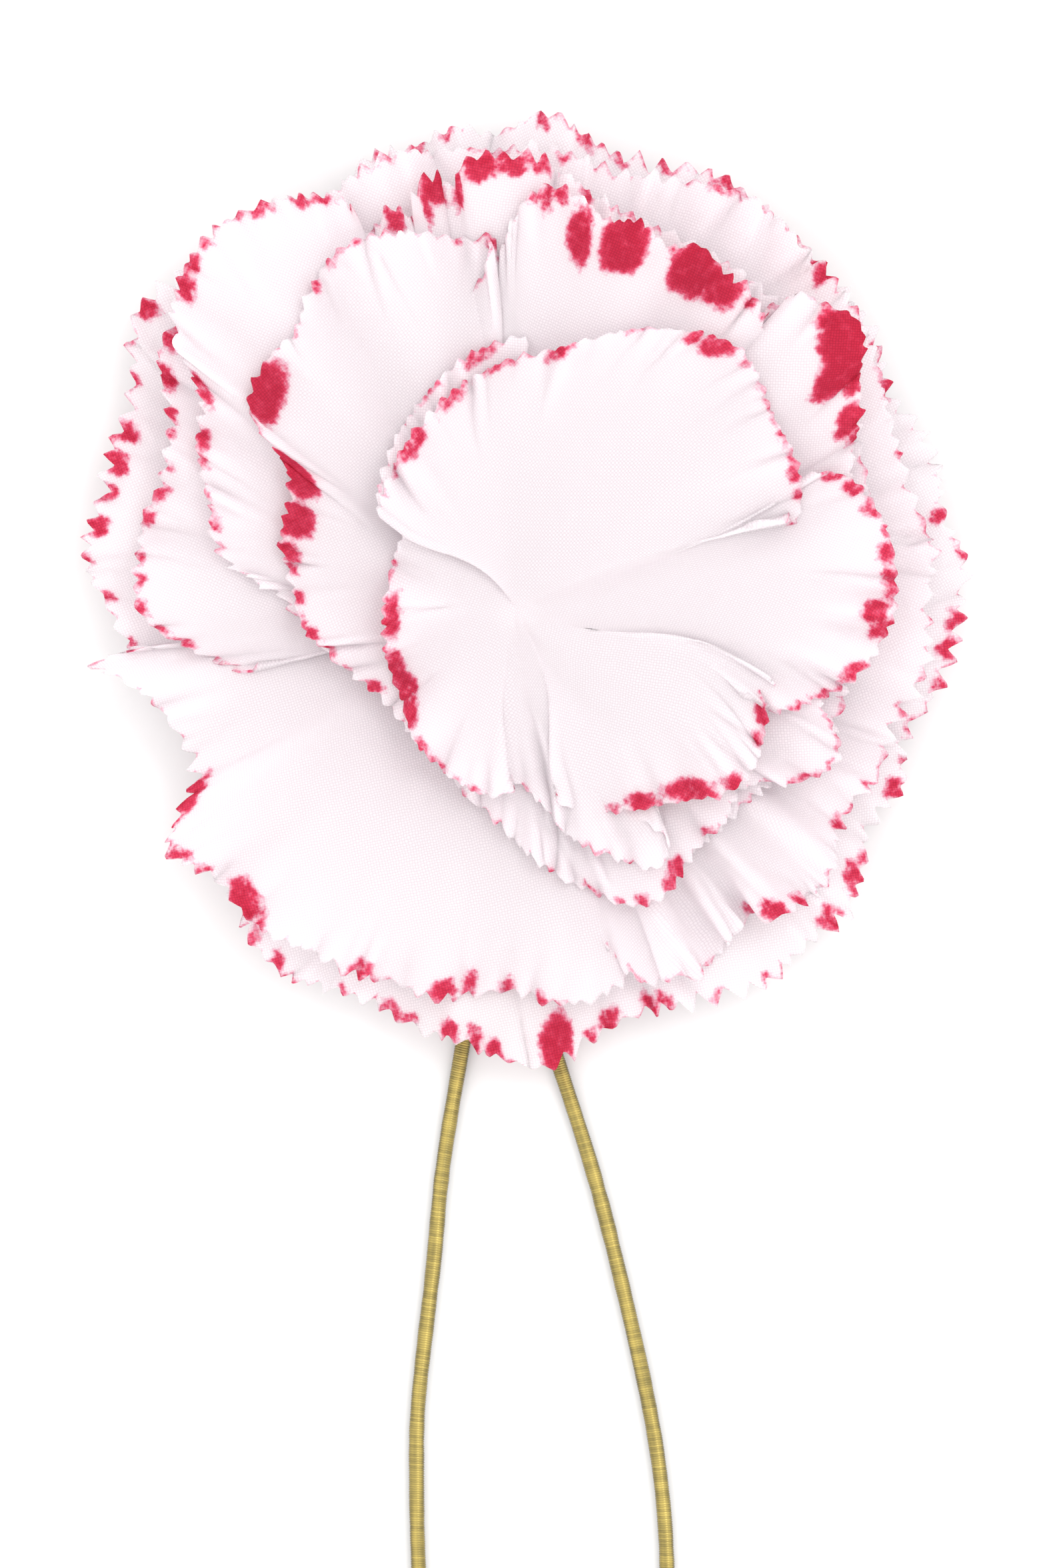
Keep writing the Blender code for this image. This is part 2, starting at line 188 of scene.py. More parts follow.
            (30, 31.4, 0.9, 0.7)],
    },
    {
        "name": "petal_disc_2", "seed": 42, "grain": 5,
        "fade": 1.3, "teeth": (1.3, 0.6), "base": 8.8, "flat": 58, "puff": 0.5,
        "way": [(0, 0, 0), (0.15, 0.06, 0.28), (0.3, 0.17, 0.56), (0.45, 0.34, 0.8),
                (0.6, 0.52, 0.93), (0.8, 0.77, 1), (1, 1, 1)],
        "rim": [
            (5, 27.6, 16.6), (13, 28, 17.2), (20, 28.6, 17.6), (25, 30.2, 18.4), (29, 31.6, 18.8),
            (34, 33.4, 19), (38, 35.4, 19.2), (41, 35.8, 19.2), (45, 34.6, 19), (48, 34, 18.6),
            (50, 32.2, 17.8), (47.5, 30, 17.4), (46, 28.8, 18.2), (49, 30.2, 19.6),
            (53, 31.6, 20.2), (58, 31.7, 20.6), (63, 32.6, 20.2), (67, 31.5, 20.6),
            (72, 32.5, 20.2), (77, 32, 20.6), (81, 33.4, 20.2), (85, 34.2, 20.2), (89, 32.6, 19.9),
            (91.5, 29.6, 19.6), (95, 26.8, 19.3), (98.5, 25.4, 19.2), (97.5, 24.6, 19.3),
            (95.5, 26.6, 19.6), (93, 29.8, 19.9), (97, 30, 19.9), (103, 30.8, 20), (110, 31.8, 20),
            (115, 32.1, 19.8), (120, 31.6, 19.7), (124, 30.2, 19.3), (129, 28.4, 19.3),
            (134, 28.3, 19.6), (140, 27.8, 19.8), (144, 26.6, 19.2), (146.5, 23.6, 18.6),
            (149, 21.4, 18.4), (153, 20.5, 18.2), (160, 20, 17.8), (167, 19.5, 17.2),
            (175, 18.2, 16.4), (184, 17.3, 15.6), (193, 15.9, 14.6), (203, 14.4, 13.6),
            (213, 13.3, 13), (223, 13, 12.6), (233, 13.4, 12.6), (243, 14, 12.6), (254, 15.7, 12.6),
            (265, 17.4, 12.8), (273, 19.9, 13), (280, 22.3, 13.2), (287, 24.5, 13.4),
            (292, 26, 13.6), (297, 26.2, 13.8), (302, 25.2, 14), (308, 24.2, 14.2),
            (314, 24.2, 14.4), (320, 23.4, 14.6), (324, 24, 14.8), (327, 26.2, 15.2),
            (331, 28, 15.4), (335, 28.8, 15.4), (338, 28, 15.4), (342, 25.8, 15.2),
            (352, 26.2, 15.4)],
        "dye": [
            (80, 33.2, 2.6, 3.9, 1.4), (78.8, 33, 1, 1.2, 0.6), (73.1, 32.4, 4.1, 4.4, 0.1),
            (71, 32.6, 1.4, 1.2), (62.6, 32.6, 3.9, 4.2), (65.6, 32, 1.2, 1.4),
            (57.4, 31.7, 3.3, 3), (52.2, 31.4, 0.9, 1.2), (83.6, 34.2, 1.2, 1.4),
            (85.6, 34.1, 1, 2.4), (87.2, 33.4, 0.9, 1), (93.6, 30, 1, 1.2), (94.6, 27.2, 1.7, 0.5),
            (99, 30.2, 0.8, 0.6), (38.6, 35.6, 4.4, 4.2), (36, 34.6, 3.8, 5.2),
            (42, 35.6, 2.6, 2.6), (33.4, 33.2, 2, 1.8), (29.4, 31.7, 2.6, 2.4),
            (26.8, 30.8, 1.4, 1.2), (49, 32, 1.2, 0.7), (118.4, 31.9, 0.9, 0.8),
            (113.6, 32, 0.7, 0.6), (122.6, 31, 0.8, 1), (139.4, 27.9, 5.2, 3.1),
            (142.4, 27.2, 2, 2.2), (136, 28.2, 0.9, 0.9), (147.6, 21.8, 3.6, 3.2),
            (150.6, 21, 2, 2.4), (158, 20.2, 2.9, 2.8), (160.6, 20, 1.6, 1.8),
            (166, 19.6, 1.9, 1.6), (170.5, 19, 0.9, 0.9), (177, 18, 1.1, 1), (183, 17.4, 0.8, 0.5),
            (187, 17, 1.3, 1), (192.7, 16, 1.1, 0.7), (200, 14.8, 0.8, 0.4),
            (209.5, 13.7, 1.6, 1.1), (285, 23.8, 1.1, 0.7), (289.5, 25.2, 0.7, 0.5),
            (293.6, 26, 1.2, 1), (301.4, 25.4, 2, 1.6), (299, 26, 0.9, 1), (311, 24.2, 0.9, 0.7),
            (329.4, 27.4, 1.6, 0.8), (333.5, 28.6, 1.1, 0.5), (337.6, 28.2, 1, 0.4)],
    },
    {
        "name": "petal_disc_1", "seed": 51, "grain": 84,
        "fade": 1.9, "teeth": (1.2, 0.5), "base": 12.6, "flat": 54, "puff": 0.3,
        "way": [(0, 0, 0), (0.08, 0.06, 0.16), (0.16, 0.13, 0.34), (0.28, 0.25, 0.58),
                (0.42, 0.4, 0.78), (0.6, 0.58, 0.93), (0.8, 0.79, 1), (1, 1, 1)],
        "rim": [
            (338, 21.8, 19.2, 20), (339, 23.4, 19, 19), (342, 24.9, 18.8, 17), (346, 27, 18.8, 14),
            (353, 29.2, 19, 10), (0, 30.5, 19.2, 6), (8, 30.6, 19.6, 2), (15, 30.1, 20, -4),
            (20, 29.2, 20.4, -8), (23.5, 27.2, 20.8, -10), (22.5, 24.9, 21, -8),
            (19, 23.4, 21.1, 0), (16.5, 22.6, 21.4, 8), (16, 23.2, 21.5, 12),
            (19.5, 24.3, 21.5, 12), (28, 25.3, 21.8, 12), (36, 25.7, 22.2, 12),
            (43, 26.8, 22.8, 12), (49, 27.4, 23, 10), (55, 26.6, 23.2, 10), (60, 25.6, 23.4, 8),
            (66, 24.4, 23.4, 6), (73, 22.6, 23.6, 5), (81, 20.9, 24, 4), (92, 19.8, 24.2, 4),
            (102, 18.6, 24.2, 4), (115, 16.9, 24.2, 4), (131, 15, 24, 4), (143, 13.7, 23.8, 5),
            (147, 13.2, 23.2, 5), (142, 14.2, 22.4, 5), (126, 16.6, 22, 4), (110, 19, 21.8, 4),
            (98, 20.9, 21.6, 4), (88, 21.6, 21.4, 4), (92, 18.6, 21, 4), (112, 14.6, 20.8, 4),
            (134, 11.8, 20.8, 5), (147, 10.8, 21.8, 5), (154, 10.7, 21.6, 4), (166, 10.5, 21, 2),
            (178, 10.6, 20, 0), (190, 10.8, 18.8, 0), (203, 11.4, 17.4, 0), (216, 12, 16.4, -2),
            (231, 13.2, 15.8, -4), (246, 14.4, 15.8, -6), (258, 15.2, 16.2, -8),
            (265.5, 15.2, 16.4, -8), (265.5, 14.2, 15.8, -8), (269, 14, 15.6, -2),
            (275, 15.3, 15.6, 4), (281, 18.1, 15.8, 8), (287, 20.3, 16, 12), (293, 22.3, 16.2, 15),
            (299, 23.9, 16.4, 18), (303, 22.6, 16.6, 18), (300, 19.6, 16.6, 16),
            (290, 16.6, 16.8, 14), (282, 15.4, 16.8, 12), (281, 15.8, 17.2, 12),
            (285, 16.7, 17.6, 13), (290, 17.6, 17.8, 14), (301, 19, 18, 15), (310, 20.4, 18.4, 16),
            (318, 22.5, 18.6, 17), (325, 23.1, 18.8, 18), (331, 22.6, 19.1, 19),
            (337, 22, 19.6, 20), (343, 21.9, 19.9, 21), (344, 21.2, 19.7, 21), (341, 20.9, 19.4, 20)],
        "dye": [
            (82, 22.2, 1.8, 1.1), (79.5, 21.2, 1.3, 0.5), (90.5, 20, 0.9, 0.6),
            (94.8, 19.5, 1, 0.6), (99, 20.8, 2.8, 1.1), (104, 18.4, 1, 0.4), (107.5, 18, 2.6, 1.1),
            (112, 18.8, 2, 0.4), (119, 16.6, 0.9, 0.4), (121.6, 16.4, 2.6, 1.4), (126, 15.6, 1, 1),
            (131.6, 15, 0.8, 0.6), (140, 14, 0.6, 0.5), (52.6, 27, 2.2, 1.9), (50, 27.3, 1.3, 1.1),
            (56.4, 26.4, 1.1, 1.2), (46.6, 27.1, 0.8, 1), (38.6, 26, 2.4, 0.35),
            (33, 25.6, 2.2, 0.4), (28.6, 25.4, 1.3, 0.5), (25.6, 25.1, 1.3, 1.1),
            (21.4, 24.6, 0.9, 0.8), (16.6, 23.2, 0.9, 0.9), (22.6, 28.2, 1.2, 1.2),
            (19.6, 29.4, 1.6, 1.3), (15.4, 30.2, 1.3, 1.2), (11.8, 30.6, 0.7, 0.5),
            (8.2, 30.8, 1.6, 1.4), (4.8, 30.8, 1.4, 1.2), (1.6, 30.8, 1.2, 1),
            (358.6, 30.6, 2, 1.9, 0.8), (356.2, 30.6, 1.8, 1.5), (349, 28.2, 1.7, 1.3),
            (344.6, 26.4, 2.4, 0.7), (340.4, 24, 1.1, 0.5), (184, 11, 4.2, 1.5),
            (177.5, 10.8, 1.4, 0.8), (207, 11.6, 3.6, 1.5), (217, 12.2, 3.6, 2),
            (226, 12.9, 2, 1.3), (235.4, 13.6, 1.2, 0.8), (243, 14.2, 1.3, 0.5),
            (251, 14.8, 0.6, 0.4), (257, 15.2, 0.6, 0.4), (295.9, 18.2, 1.1, 0.6),
            (302, 19.3, 2.2, 1.5), (305.4, 19.7, 0.9, 0.6), (312.8, 21.2, 4, 2),
            (316.4, 22, 1, 0.9), (320.4, 23, 1.7, 1.2), (331.4, 22.8, 1.1, 1),
            (336, 22.4, 1.8, 1.5), (342, 22.1, 1, 0.5)],
    },
]

# Centre lines of the legs in mm, from under the flower to the free end.
LEGS = {
    "left": [
        (-1.3, -4, 1.95), (-1.6, -10, 1.95), (-2.0, -17, 1.95), (-2.45, -23.5, 1.1),
        (-3.4, -30, 0.65), (-4.5, -36.2, 0.65), (-6.0, -45.5, 0.65), (-6.8, -53.7, 0.65),
        (-8.0, -64.6, 0.65), (-8.15, -71.1, 0.65), (-8.0, -78.0, 0.65), (-7.6, -85, 0.65),
        (-6.8, -94, 0.65), (-5.6, -104, 0.65)],
    "right": [
        (0.25, -4, 1.95), (-0.05, -10, 1.95), (-0.45, -17, 1.95), (-0.9, -23.5, 1.1),
        (1.15, -30, 0.65), (3.3, -36.6, 0.65), (6.15, -45.5, 0.65), (8.3, -53.7, 0.65),
        (10.6, -63.8, 0.65), (11.8, -71.1, 0.65), (12.3, -78.0, 0.65), (12.2, -85, 0.65),
        (11.6, -94, 0.65), (10.5, -104, 0.65)],
}


# ---------------------------------------------------------------- materials

def new_material(name, roughness, specular=0.3, metallic=0.0):
    made = bpy.data.materials.new(name)
    made.use_nodes = True
    tree = made.node_tree
    shader = tree.nodes["Principled BSDF"]
    shader.inputs["Roughness"].default_value = roughness
    shader.inputs["Specular IOR Level"].default_value = specular
    shader.inputs["Metallic"].default_value = metallic
    return made, tree, shader


def node(tree, kind, **settings):
    made = tree.nodes.new(kind)
    for key, value in settings.items():
        setattr(made, key, value)
    return made


def maths(tree, operation, first, second=None, clamp=False):
    made = node(tree, "ShaderNodeMath", operation=operation, use_clamp=clamp)
    for socket, value in zip(made.inputs, (first, second)):
        if value is None:
            continue
        if isinstance(value, (int, float)):
            socket.default_value = value
        else:
            tree.links.new(value, socket)
    return made.outputs[0]


def ramp(tree, value, stops):
    made = node(tree, "ShaderNodeValToRGB")
    elements = made.color_ramp.elements
    while len(elements) < len(stops):
        elements.new(0.5)
    for element, (position, colour) in zip(elements, stops):
        element.position = position
        element.color = (*colour, 1.0)
    tree.links.new(value, made.inputs[0])
    return made.outputs[0]


def cloth_material(name):
    """White plain weave with a crimson dye that runs along its threads."""
    made, tree, shader = new_material(name, 0.85, 0.15)
    link = tree.links.new
    flat = node(tree, "ShaderNodeUVMap", uv_map="cut")
    scaled = node(tree, "ShaderNodeVectorMath", operation="SCALE")
    scaled.inputs["Scale"].default_value = 1.0 / THREAD_PITCH
    link(flat.outputs[0], scaled.inputs[0])
    wander = node(tree, "ShaderNodeTexNoise")
    wander.inputs["Scale"].default_value = 0.12
    wander.inputs["Detail"].default_value = 2.0
    link(scaled.outputs[0], wander.inputs["Vector"])
    shifted = node(tree, "ShaderNodeVectorMath", operation="MULTIPLY_ADD")
    link(wander.outputs["Color"], shifted.inputs[0])
    shifted.inputs[1].default_value = (1.6, 1.6, 0)
    link(scaled.outputs[0], shifted.inputs[2])
    parts = node(tree, "ShaderNodeSeparateXYZ")
    link(shifted.outputs[0], parts.inputs[0])
    along = maths(tree, "COSINE", maths(tree, "MULTIPLY", parts.outputs[0], math.pi))
    across = maths(tree, "COSINE", maths(tree, "MULTIPLY", parts.outputs[1], math.pi))
    crossing = maths(tree, "MULTIPLY", along, across)
    ridge = maths(tree, "MULTIPLY", maths(tree, "ABSOLUTE", crossing), 0.45)
    top = maths(tree, "MULTIPLY", maths(tree, "MAXIMUM", crossing, 0.0), 0.55)
    weave = maths(tree, "ADD", ridge, top)

    cell = node(tree, "ShaderNodeVectorMath", operation="FLOOR")
    link(shifted.outputs[0], cell.inputs[0])
    speck = node(tree, "ShaderNodeTexWhiteNoise", noise_dimensions="2D")
    link(cell.outputs[0], speck.inputs["Vector"])
    soft = node(tree, "ShaderNodeTexNoise")
    soft.inputs["Scale"].default_value = 0.45
    soft.inputs["Detail"].default_value = 3.0
    link(scaled.outputs[0], soft.inputs["Vector"])
    blotch = node(tree, "ShaderNodeTexNoise")
    blotch.inputs["Scale"].default_value = 0.2
    blotch.inputs["Detail"].default_value = 2.0
    link(scaled.outputs[0], blotch.inputs["Vector"])
    dye = node(tree, "ShaderNodeAttribute", attribute_name="dye")
    edge = dye.outputs["Fac"]
    for field, amount in ((blotch.outputs["Fac"], 0.75), (soft.outputs["Fac"], 0.55),
                          (speck.outputs["Value"], 0.10)):
        shift = maths(tree, "MULTIPLY", maths(tree, "SUBTRACT", field, 0.5), amount)
        edge = maths(tree, "ADD", edge, shift)
    crimson = ramp(tree, edge, [(0.36, (0.95, 0.915, 0.93)), (0.51, (0.90, 0.61, 0.70)),
                                (0.66, (0.82, 0.18, 0.30)), (0.77, (0.77, 0.08, 0.165)),
                                (1.0, (0.66, 0.045, 0.105))])
    tint = ramp(tree, weave, [(0.0, (0.76, 0.745, 0.76)), (0.42, (1.0, 1.0, 1.0))])
    colour = node(tree, "ShaderNodeMix", data_type="RGBA", blend_type="MULTIPLY")
    dyed = maths(tree, "MULTIPLY", maths(tree, "SUBTRACT", edge, 0.5), 1.2)
    strength = maths(tree, "ADD", dyed, 0.6, clamp=True)
    link(maths(tree, "MAXIMUM", strength, 0.7), colour.inputs[0])
    link(crimson, colour.inputs[6])
    link(tint, colour.inputs[7])
    link(colour.outputs[2], shader.inputs["Base Color"])

    bump = node(tree, "ShaderNodeBump")
    bump.inputs["Strength"].default_value = 0.6
    bump.inputs["Distance"].default_value = 0.00006
    link(weave, bump.inputs["Height"])
    rumple = node(tree, "ShaderNodeTexNoise")
    rumple.inputs["Scale"].default_value = 0.06
    rumple.inputs["Detail"].default_value = 3.0
    link(scaled.outputs[0], rumple.inputs["Vector"])
    soft_bump = node(tree, "ShaderNodeBump")
    soft_bump.inputs["Strength"].default_value = 0.5
    soft_bump.inputs["Distance"].default_value = 0.0006
    link(rumple.outputs["Fac"], soft_bump.inputs["Height"])
    link(soft_bump.outputs[0], bump.inputs["Normal"])
    link(bump.outputs[0], shader.inputs["Normal"])

    through = node(tree, "ShaderNodeBsdfTranslucent")
    link(colour.outputs[2], through.inputs["Color"])
    mixed = node(tree, "ShaderNodeMixShader")
    mixed.inputs[0].default_value = 0.68
    link(shader.outputs[0], mixed.inputs[1])
    link(through.outputs[0], mixed.inputs[2])
    link(mixed.outputs[0], tree.nodes["Material Output"].inputs["Surface"])
    return made


def thread_material():
    """Gold and olive silk thread, from the value that each of its turns has, which also holds painted
    shade on its sides, underside and grooves and painted highlight streaks.
    """
    made, tree, shader = new_material("wrap_thread", 0.3, 0.6, 0.55)
    # The attribute holds the thread's own colour variation together with its painted shade and
    # painted highlight.
    tone_with_painted_shade_and_highlight = node(tree, "ShaderNodeAttribute", attribute_name="tone_with_painted_shade_and_highlight")
    colour = ramp(tree, tone_with_painted_shade_and_highlight.outputs["Fac"], [
        (0.0, (0.035, 0.026, 0.006)), (0.35, (0.14, 0.11, 0.028)),
        (0.7, (0.36, 0.275, 0.066)), (1.0, (0.70, 0.55, 0.14))])
    tree.links.new(colour, shader.inputs["Base Color"])
    return made


def plain_material(name, colour, roughness, metallic=0.0):
    made, tree, shader = new_material(name, roughness, 0.3, metallic)
    shader.inputs["Base Color"].default_value = (*colour, 1.0)
    return made


# ---------------------------------------------------------------- shapes

def smooth_table(rows, x):
    """Smooth monotone value of each column of a table at x."""
    rows = np.array(rows, float)
    at = rows[:, 0]
    k = np.clip(np.searchsorted(at, x, side="right") - 1, 0, len(at) - 2)
    out = []
    for column in rows[:, 1:].T:
        rise = np.diff(column) / np.diff(at)
        slope = np.zeros(len(at))
        product = rise[:-1] * rise[1:]
        total = rise[:-1] + rise[1:]
        slope[1:-1] = np.where(product > 0, 2 * product / np.where(total == 0, 1, total), 0)
        slope[0], slope[-1] = rise[0], rise[-1]
        h = at[k + 1] - at[k]
        t = (x - at[k]) / h
        out.append((1 + 2 * t) * (1 - t) ** 2 * column[k] + t * (1 - t) ** 2 * h * slope[k]
                   + t * t * (3 - 2 * t) * column[k + 1] + t * t * (t - 1) * h * slope[k + 1])
    return out


def closed_curve(points, count):
    """The smooth closed curve through the points, cut into equal lengths, and its length.

    The first three columns of a point are its place.
    """
    points = np.array(points, float)
    n = len(points)
    fine = []
    for k in range(n):
        p0, p1, p2, p3 = (points[(k + i) % n] for i in (-1, 0, 1, 2))
        gaps = [max(np.linalg.norm((b - a)[:3]), 1e-6) ** 0.5
                for a, b in ((p0, p1), (p1, p2), (p2, p3))]
        m1 = (p1 - p0) / gaps[0] - (p2 - p0) / (gaps[0] + gaps[1]) + (p2 - p1) / gaps[1]
        m2 = (p2 - p1) / gaps[1] - (p3 - p1) / (gaps[1] + gaps[2]) + (p3 - p2) / gaps[2]
        t = np.linspace(0, 1, 40, endpoint=False)[:, None]
        fine.append((1 + 2 * t) * (1 - t) ** 2 * p1 + t * (1 - t) ** 2 * gaps[1] * m1
                    + t * t * (3 - 2 * t) * p2 + t * t * (t - 1) * gaps[1] * m2)
    fine = np.vstack(fine + [fine[0][:1]])
    steps = np.linalg.norm(np.diff(fine[:, :3], axis=0), axis=1)
    length = np.concatenate([[0], np.cumsum(steps)])
    at = np.linspace(0, length[-1], count, endpoint=False)
    return np.column_stack([np.interp(at, length, column) for column in fine.T]), length[-1]


def bumpy(rng, count, waves):
    """A smooth closed random line of about unit height with up to this many waves."""
    at = np.linspace(0, math.tau, count, endpoint=False)
    line = np.zeros(count)
    for k in range(max(1, waves // 3), waves + 1):
        line += rng.normal() * np.cos(k * at + rng.uniform(0, math.tau))
    return line / max(line.std(), 1e-9)


def teeth(rng, count, length, pitch, tall):
    """Pinked edge: 1 at each tooth's tip and 0 in each notch, with its depth in mm and its dye."""
    marks = [0.0]
    while marks[-1] < length:
        marks.append(marks[-1] + pitch * rng.uniform(0.55, 1.45))
    marks = np.array(marks) * length / marks[-1]
    at = np.linspace(0, length, count, endpoint=False)
    k = np.searchsorted(marks, at, side="right") - 1
    share = (at - marks[k]) / (marks[k + 1] - marks[k])
    peak = rng.uniform(0.32, 0.68, len(marks))[k]
    rise = np.where(share < peak, share / peak, (1 - share) / (1 - peak))
    rise = rise ** rng.uniform(0.8, 1.3, len(marks))[k]
    widths = np.diff(np.append(marks, marks[-1] + pitch))
    depth = tall * rng.uniform(0.2, 1.2, len(marks)) * widths
    depth = np.interp(at, (marks[:-1] + marks[1:]) / 2, depth[:-1], period=length)
    chosen = rng.uniform(size=len(marks)) < 0.34
    dyed = np.where(chosen, rng.uniform(0.0, 0.5, len(marks)), -0.8)
    return rise, depth, dyed[k]


def blurred(field, times):
    """A grid smoothed both ways, with its first and last rings smoothed only round the rim."""
    for _ in range(times):
        field = 0.5 * field + 0.25 * (np.roll(field, 1, 0) + np.roll(field, -1, 0))
        inner = field.copy()
        inner[:, 1:-1] = 0.5 * field[:, 1:-1] + 0.25 * (field[:, :-2] + field[:, 2:])
        field = inner
    return field


def normals_of(points):
    """The unit normal at each place of a grid that closes on itself round the rim."""
    across = np.roll(points, -1, 0) - np.roll(points, 1, 0)
    out = np.gradient(points, axis=1)
    normal = np.cross(out, across)
    return normal / np.maximum(np.linalg.norm(normal, axis=2, keepdims=True), 1e-9)


def steps_out():
    """How far along a radius each ring lies: close together at the rim."""
    inner = np.linspace(0, 0.86, OUTWARD - RIM_RINGS, endpoint=False)
    return np.concatenate([inner, np.linspace(0.86, 1, RIM_RINGS)])


def distance_in(points):
    """How far each point lies from the rim, along the cloth."""
    along = np.cumsum(np.linalg.norm(np.diff(points, axis=1), axis=2), axis=1)
    along = np.concatenate([np.zeros((len(points), 1)), along], axis=1)
    return along[:, -1:] - along


def lifted(points, below, gap):
    """Raises what lies under the top of the discs below to just over it."""
    lift = np.zeros(points.shape[:2])
    down = Vector((0, 0, -1))
    for i in range(points.shape[0]):
        for j in range(points.shape[1]):
            x, y, z = points[i, j]
            hit = below.ray_cast(Vector((x, y, 60.0)), down)[0]
            if hit is not None and hit.z + gap > z:
                lift[i, j] = hit.z + gap - z
    if lift.max() <= 0:
        return points
    spread = lift.copy()
    for _ in range(3):
        spread = np.maximum.reduce([spread, np.roll(spread, 1, 0), np.roll(spread, -1, 0)])
        spread[:, 1:] = np.maximum(spread[:, 1:], spread[:, :-1])
        spread[:, :-1] = np.maximum(spread[:, :-1], spread[:, 1:])
    points[:, :, 2] += np.maximum(blurred(spread, 3), lift)
    return points


def start_of(spec):
    """The radius where the cloth begins: the tack's hole, or next to nothing in the front disc."""
    return PIT_RADIUS if spec["name"] == "petal_disc_1" else HOLE_RADIUS


def disc_points(spec):
    """The grid of a disc's middle surface in mm, its dye, its length from the centre, its edge."""
    rng = np.random.default_rng(spec["seed"])
    rows = [tuple(row) + (0,) * (4 - len(row)) for row in spec["rim"]]
    controls = [(r * math.cos(math.radians(a)), r * math.sin(math.radians(a)), z, turn)
                for a, r, z, turn in rows]
    rim, length = closed_curve(controls, AROUND)
    rim[:, 2] = REAR_HEIGHT + FLATTENED * (rim[:, 2] - REAR_HEIGHT)
    t = steps_out()
    share, height = smooth_table(spec["way"], t)
    radius = np.hypot(rim[:, 0], rim[:, 1])
    angle = np.arctan2(rim[:, 1], rim[:, 0])
    start = start_of(spec)
    reach = start + (radius[:, None] - start) * share[None, :]
    even = np.arange(AROUND) * math.tau / AROUND
    winding = np.unwrap(angle)
    spread = np.fft.rfft(winding - even)
    spread *= np.exp(-0.5 * (np.arange(len(spread)) * math.tau * OPENING / length) ** 2)
    calm = even + np.fft.irfft(spread, AROUND)
    opened = np.clip(share / 0.8, 0, 1)
    opened = opened ** 2 * (3 - 2 * opened)
    leaning = winding[:, None] + np.radians(rim[:, 3])[:, None] * (1 - share[None, :])
    turned = calm[:, None] + (leaning - calm[:, None]) * opened[None, :]
    broad = rim[:, 2].copy()
    for _ in range(60):
        broad = (np.roll(broad, 7) + broad + np.roll(broad, -7)) / 3
    points = np.empty((AROUND, len(t), 3))
    points[:, :, 0] = reach * np.cos(turned)
    points[:, :, 1] = reach * np.sin(turned)
    points[:, :, 2] = spec["base"] + (broad - spec["base"])[:, None] * height[None, :]
    points[:, :, 2] += (rim[:, 2] - broad)[:, None] * share[None, :] ** spec["fade"]

    puff = spec["puff"] * (1 + 0.5 * bumpy(rng, AROUND, 7))
    points[:, :, 2] += puff[:, None] * np.sin(np.pi * t[None, :] ** 1.4)

    normal = normals_of(blurred(points, 2))
    at = np.linspace(0, length, AROUND, endpoint=False)
    push = 0.50 * bumpy(rng, AROUND, int(length / 9))[:, None] * t[None, :] ** 3
    push += 0.16 * bumpy(rng, AROUND, int(length / 3.5))[:, None] * t[None, :] ** 6
    out_mm = radius[:, None] * (1 - t[None, :])
    for _ in range(int(length / 3.5)):
        place, width = rng.uniform(0, length), rng.uniform(0.5, 1.5)
        long, high = rng.uniform(2.5, 9), rng.uniform(0.25, 0.8) * rng.choice([-1, 1])
        away = (at - place + length / 2) % length - length / 2
        slant = rng.uniform(-0.25, 0.25)
        beside = (away[:, None] + slant * out_mm) / width
        fade = np.clip(1 - out_mm / long, 0, 1) ** 1.3
        crease = beside * np.exp(0.5 - beside ** 2) + 0.5 * np.exp(-beside ** 2)
        push += high * crease * fade
    for _ in range(int(length / 3)):
        place, width = rng.uniform(0, length), rng.uniform(0.45, 0.8)
        long, high = rng.uniform(1.8, 7.5), rng.uniform(0.25, 0.65)
        away = (at - place + length / 2) % length - length / 2
        beside = (away[:, None] + rng.uniform(-0.3, 0.3) * out_mm) / width
        push -= high * np.clip(1 - np.abs(beside), 0, 1) * np.clip(1 - out_mm / long, 0, 1)
    points += push[:, :, None] * normal

    inward = distance_in(points)
    rise, depth, dyed = teeth(rng, AROUND, length, *spec["teeth"])
    outward = points[:, -1] - points[:, -5]
    outward /= np.linalg.norm(outward, axis=1, keepdims=True)
    for j in range(TOOTH_RINGS):
        k = len(t) - TOOTH_RINGS + j
        points[:, k] += outward * ((rise - 0.6) * depth * ((j + 1) / TOOTH_RINGS) ** 1.6)[:, None]

    curl = rng.uniform(-1, 1, 40)
    tips = np.interp(at, np.linspace(0, length, 40), curl) * 0.25
    points[:, -4:, 2] += (tips * rise)[:, None] * np.array([0.1, 0.3, 0.6, 1.0])

    path = np.linalg.norm(np.diff(points, axis=1), axis=2)
    along = start + np.concatenate([np.zeros((AROUND, 1)), np.cumsum(path, axis=1)], axis=1)
    from_tip = along[:, -1:] - along

    dye = np.clip(0.5 + 0.5 * ((dyed * rise)[:, None] - from_tip) / 0.8, 0, 0.56)
    for degrees, far, wide, deep, *back in spec["dye"]:
        place = far * np.array([math.cos(math.radians(degrees)), math.sin(math.radians(degrees))])
        nearest = int(np.argmin(np.hypot(*(rim[:, :2] - place).T)))
        beside = (at - at[nearest] + length / 2) % length - length / 2
        centre = 0.42 * deep + (back[0] if back else 0)
        across = np.abs(beside[:, None]) / (0.55 * wide)
        inside = np.abs(inward - centre) / (0.6 * deep)
        away = 1 - (across ** 2.3 + inside ** 2.3) ** (1 / 2.3)
        level = 0.5 + 0.5 * away * min(wide, deep) / 1.1
        full = min(1.0, 0.6 + 0.12 * min(wide, deep))
        dye = np.maximum(dye, np.clip(level, 0, full))
    return points, dye, along, length


def rings_of_steps():
    """How many samples apart each ring's vertices are: fewer towards the centre."""
    t = steps_out()
    return [8 if s < 0.12 else 4 if s < 0.3 else 2 if s < 0.55 else 1 for s in t]


